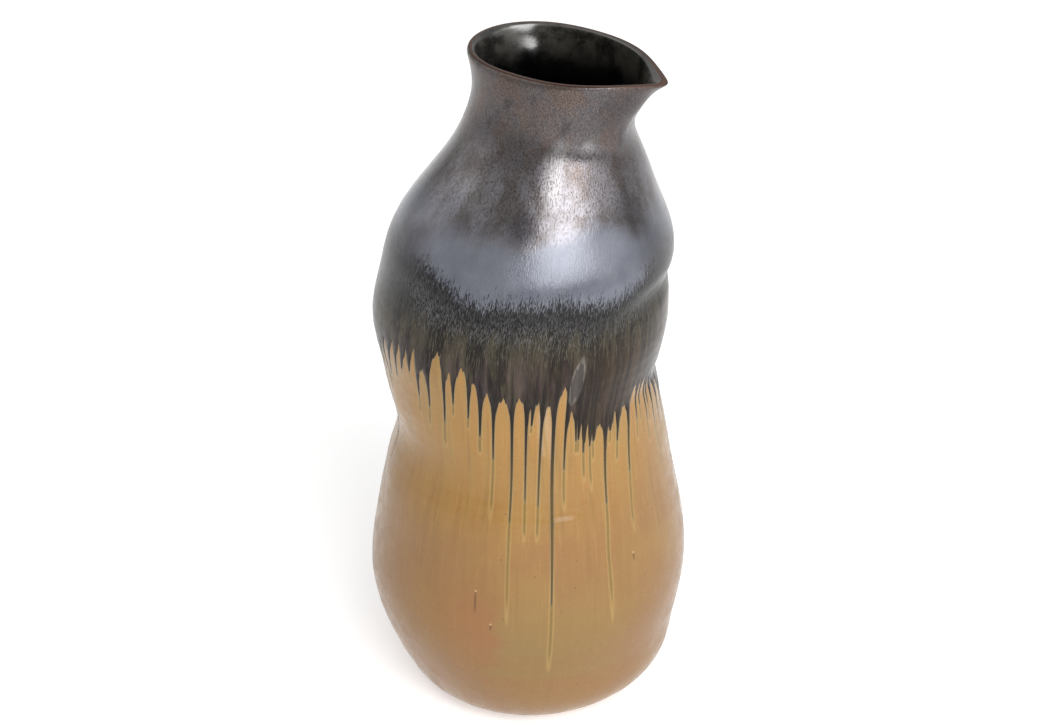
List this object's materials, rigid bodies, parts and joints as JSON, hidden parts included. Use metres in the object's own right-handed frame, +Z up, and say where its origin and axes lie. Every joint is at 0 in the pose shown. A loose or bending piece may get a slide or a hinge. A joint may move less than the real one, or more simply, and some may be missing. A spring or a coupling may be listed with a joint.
{
  "type": "stoneware vase",
  "caption": "Tall hand-thrown stoneware vase, squeezed at the waist, with a flared mouth pulled into a pouring spout and layered glazes.",
  "frame": {"origin": "centre of the foot, on the surface that the vase stands on", "axes": "+Z up through the mouth, +X towards the tip of the pouring spout"},
  "size_m": [0.1992, 0.1992, 0.43],
  "materials": {
    "bare_clay": "unglazed fired stoneware, matt and slightly gritty",
    "lip_clay": "glaze broken thin over the rounded lip, reddish brown, glossy",
    "liner_glaze": "glossy near-black inside glaze",
    "tan_glaze": "glossy tan and ochre glaze, pinkish brown low down",
    "bronze_glaze": "satin to glossy gunmetal bronze glaze with a blue-grey band and dark streaks",
    "run_glaze": "glossy dark teal runs with pale halos and yellow-olive tails"
  },
  "bodies": {
    "root": {"foot_ring": "bare_clay", "floor_slab": "bare_clay", "lower_wall": "bare_clay", "upper_wall": "bare_clay", "neck_collar": "lip_clay", "liner_glaze": "liner_glaze", "tan_glaze": "tan_glaze", "bronze_glaze": "bronze_glaze", "glaze_runs": "run_glaze"}
  },
  "joints": []
}
